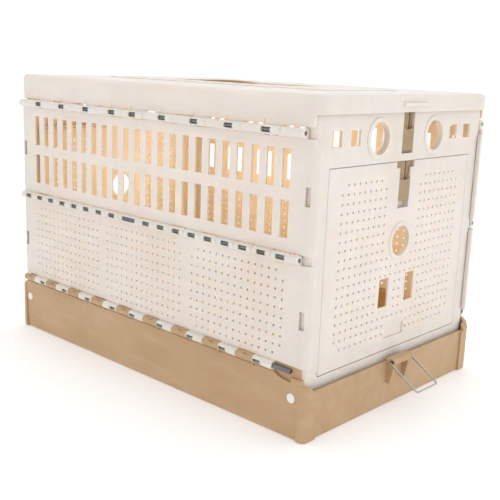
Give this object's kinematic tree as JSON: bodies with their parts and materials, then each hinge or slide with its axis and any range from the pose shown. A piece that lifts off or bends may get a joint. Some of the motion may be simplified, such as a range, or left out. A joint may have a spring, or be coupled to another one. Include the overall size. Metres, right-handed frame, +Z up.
{
  "type": "pet transport carrier",
  "caption": "Foldable rigid-plastic pet carrier: deep tray, rod-hinged slotted and perforated side panels, lid with bow handle, inward-folding end walls with drop doors and slide latches",
  "frame": {"origin": "centre of the tray's underside, on the surface it stands on", "axes": "+X points out of the front door end, +Y to the right-hand side, +Z up"},
  "size_m": [0.6374, 0.3584, 0.3739],
  "materials": {
    "ivory_plastic": "fine-textured ivory polypropylene",
    "tan_plastic": "fine-textured tan polypropylene",
    "latch_plastic": "semi-gloss khaki acetal",
    "white_pin": "smooth white nylon",
    "steel_rod": "drawn steel rod",
    "bright_wire": "bright plated wire"
  },
  "bodies": {
    "shell": {"base_tray": "tan_plastic", "left_lower_panel": "ivory_plastic", "right_lower_panel": "ivory_plastic", "left_upper_panel": "ivory_plastic", "right_upper_panel": "ivory_plastic", "lid": "ivory_plastic", "handle_pins": "tan_plastic", "left_top_rod": "steel_rod", "left_middle_rod": "steel_rod", "left_bottom_rod": "steel_rod", "right_top_rod": "steel_rod", "right_middle_rod": "steel_rod", "right_bottom_rod": "steel_rod", "wall_pivot_pins": "white_pin"},
    "lid_handle": {"lid_handle": "tan_plastic"},
    "front_wall": {"front_wall": "ivory_plastic"},
    "rear_wall": {"rear_wall": "ivory_plastic"},
    "front_door": {"front_door": "ivory_plastic"},
    "rear_door": {"rear_door": "ivory_plastic"},
    "front_wall_latch": {"front_wall_latch": "latch_plastic"},
    "rear_wall_latch": {"rear_wall_latch": "latch_plastic"},
    "front_door_latch": {"front_door_latch": "latch_plastic"},
    "rear_door_latch": {"rear_door_latch": "latch_plastic"},
    "front_bail": {"front_bail": "bright_wire"},
    "rear_bail": {"rear_bail": "bright_wire"}
  },
  "joints": [
    {"name": "handle_lift", "type": "hinge", "parent": "shell", "child": "lid_handle", "pos_m": [0, 0.02, 0.3644], "axis": [-1, 0, 0], "range_deg": [0, 90]},
    {"name": "front_wall_fold", "type": "hinge", "parent": "shell", "child": "front_wall", "pos_m": [0.2533, 0, 0.048], "axis": [0, -1, 0], "range_deg": [0, 95]},
    {"name": "rear_wall_fold", "type": "hinge", "parent": "shell", "child": "rear_wall", "pos_m": [-0.2533, 0, 0.048], "axis": [0, 1, 0], "range_deg": [0, 90]},
    {"name": "front_door_swing", "type": "hinge", "parent": "front_wall", "child": "front_door", "pos_m": [0.26175, 0, 0.0721], "axis": [0, 1, 0], "range_deg": [0, 95]},
    {"name": "rear_door_swing", "type": "hinge", "parent": "rear_wall", "child": "rear_door", "pos_m": [-0.26175, 0, 0.0721], "axis": [0, -1, 0], "range_deg": [0, 95]},
    {"name": "front_wall_latch_slide", "type": "slide", "parent": "front_wall", "child": "front_wall_latch", "axis": [0, 0, -1], "range_m": [0, 0.003]},
    {"name": "rear_wall_latch_slide", "type": "slide", "parent": "rear_wall", "child": "rear_wall_latch", "axis": [0, 0, -1], "range_m": [0, 0.003]},
    {"name": "front_door_latch_slide", "type": "slide", "parent": "front_door", "child": "front_door_latch", "axis": [0, 0, -1], "range_m": [0, 0.008]},
    {"name": "rear_door_latch_slide", "type": "slide", "parent": "rear_door", "child": "rear_door_latch", "axis": [0, 0, -1], "range_m": [0, 0.008]},
    {"name": "front_bail_swing", "type": "hinge", "parent": "shell", "child": "front_bail", "pos_m": [0.278, 0, 0.0565], "axis": [0, 1, 0], "range_deg": [-130, 55]},
    {"name": "rear_bail_swing", "type": "hinge", "parent": "shell", "child": "rear_bail", "pos_m": [-0.278, 0, 0.0565], "axis": [0, -1, 0], "range_deg": [-130, 55]}
  ]
}
